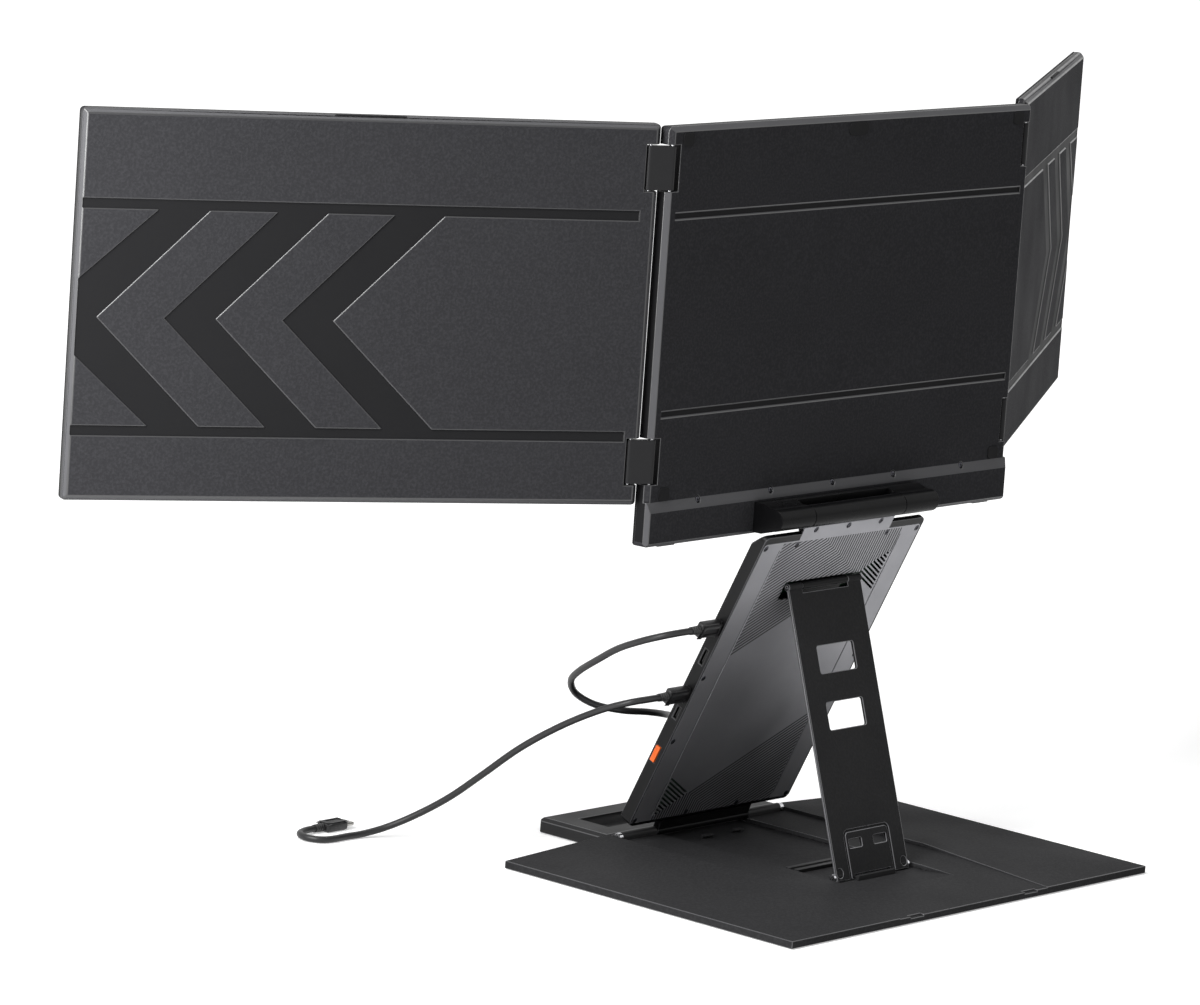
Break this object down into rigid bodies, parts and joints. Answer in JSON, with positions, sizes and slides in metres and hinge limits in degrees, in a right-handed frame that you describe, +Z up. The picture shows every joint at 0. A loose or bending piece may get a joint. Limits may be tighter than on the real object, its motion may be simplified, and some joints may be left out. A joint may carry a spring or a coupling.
{
  "type": "laptop screen extender",
  "caption": "Free-standing triple-screen extender: base plate with foot, leaning arm on a kickstand, tilting centre display and folding side displays, with cords.",
  "frame": {"origin": "on the desk, under the middle of the base plate", "axes": "+X to the user's right, +Y to the back, away from the user, +Z up; the screens face -Y"},
  "size_m": [1.0024, 0.3946, 0.4801],
  "materials": {
    "shell_plastic": "fine-textured black plastic",
    "base_metal": "powder-coated black sheet",
    "foot_plastic": "satin black plastic",
    "arm_metal": "grey anodised sheet",
    "arm_plastic": "satin black plastic",
    "hinge_plastic": "semi-gloss black",
    "prop_metal": "powder-coated black steel",
    "ballast_steel": "blackened steel",
    "bright_steel": "bright steel",
    "screw_steel": "dull steel",
    "rubber": "matt black rubber",
    "cord_sheath": "black cord sheath",
    "plug_plastic": "moulded black plastic",
    "port_metal": "plated shell",
    "switch_orange": "orange plastic",
    "circuit_board": "green solder mask",
    "panel_metal": "panel back sheet",
    "screen_glass": "dark anti-glare screen surface"
  },
  "bodies": {
    "base": {"base_plate": "base_metal", "base_bottom_cover": "ballast_steel", "base_weights": "ballast_steel", "base_feet": "rubber", "base_screws": "screw_steel", "front_foot": "foot_plastic", "arm_hinge_blocks": "arm_plastic", "arm_hinge_pin": "bright_steel", "tray_hooks": "base_metal", "prop_stop_bar": "base_metal", "prop_foot_stop": "base_metal", "signal_cord_end_plug": "plug_plastic", "power_cord": "cord_sheath", "power_cord_hank": "cord_sheath", "power_cord_end_plug": "plug_plastic"},
    "arm": {"arm_frame": "arm_plastic", "arm_back_cover": "arm_metal", "arm_cover_screws": "screw_steel", "arm_circuit_board": "circuit_board", "usb_c_ports": "port_metal", "mini_port": "port_metal", "power_inlet": "port_metal", "prop_hinge": "arm_plastic", "prop_hinge_pin": "bright_steel", "tilt_barrel": "hinge_plastic", "tilt_shaft": "bright_steel", "signal_cord": "cord_sheath", "signal_cord_arm_plug": "plug_plastic", "power_cord_arm_plug": "plug_plastic"},
    "power_button": {"power_button": "switch_orange"},
    "prop": {"prop_plate": "prop_metal", "prop_foot_rod": "bright_steel"},
    "centre_display": {"centre_back_cover": "shell_plastic", "centre_bezel": "arm_plastic", "centre_lcd_panel": "panel_metal", "centre_glass": "screen_glass", "centre_driver_board": "circuit_board", "centre_bumpers": "rubber", "centre_screws": "screw_steel", "tilt_bracket": "hinge_plastic"},
    "right_blocks": {"right_hinge_blocks": "hinge_plastic", "right_hinge_pins": "bright_steel"},
    "right_display": {"right_back_cover": "shell_plastic", "right_bezel": "arm_plastic", "right_lcd_panel": "panel_metal", "right_glass": "screen_glass", "right_driver_board": "circuit_board", "right_top_pad": "rubber"},
    "left_blocks": {"left_hinge_blocks": "hinge_plastic", "left_hinge_pins": "bright_steel"},
    "left_display": {"left_back_cover": "shell_plastic", "left_bezel": "arm_plastic", "left_lcd_panel": "panel_metal", "left_glass": "screen_glass", "left_driver_board": "circuit_board", "left_top_pad": "rubber"}
  },
  "joints": [
    {"name": "arm_raise", "type": "hinge", "parent": "base", "child": "arm", "pos_m": [0, -0.108, 0.0093], "axis": [1, 0, 0], "range_deg": [0, 24]},
    {"name": "prop_fold", "type": "hinge", "parent": "arm", "child": "prop", "pos_m": [0, -0.0263, 0.18228], "axis": [-1, 0, 0], "range_deg": [0, 41.4]},
    {"name": "power_press", "type": "slide", "parent": "arm", "child": "power_button", "axis": [-1, 0, 0], "range_m": [0, 0.0008], "stiffness_N_per_m": 800, "springref_m": -0.0004},
    {"name": "display_tilt", "type": "hinge", "parent": "arm", "child": "centre_display", "pos_m": [0, -0.00781, 0.23217], "axis": [-1, 0, 0], "range_deg": [-6, 90]},
    {"name": "right_block_turn", "type": "hinge", "parent": "centre_display", "child": "right_blocks", "pos_m": [0.179, -0.03175, 0.36342], "axis": [0, 0.0201, -0.9998], "range_deg": [-30.25, 59.75]},
    {"name": "right_display_turn", "type": "hinge", "parent": "right_blocks", "child": "right_display", "pos_m": [0.19109, -0.0388, 0.36328], "axis": [0, 0.0201, -0.9998], "range_deg": [-55, 90]},
    {"name": "left_block_turn", "type": "hinge", "parent": "centre_display", "child": "left_blocks", "pos_m": [-0.179, -0.03175, 0.36342], "axis": [0, -0.0201, 0.9998], "range_deg": [-39, 51]},
    {"name": "left_display_turn", "type": "hinge", "parent": "left_blocks", "child": "left_display", "pos_m": [-0.1975, -0.04672, 0.36312], "axis": [0, -0.0201, 0.9998], "range_deg": [-46.25, 98.75]}
  ],
  "couplings": [
    {"joint": "prop_fold", "follows": "arm_raise", "ratio": 1.725}
  ]
}
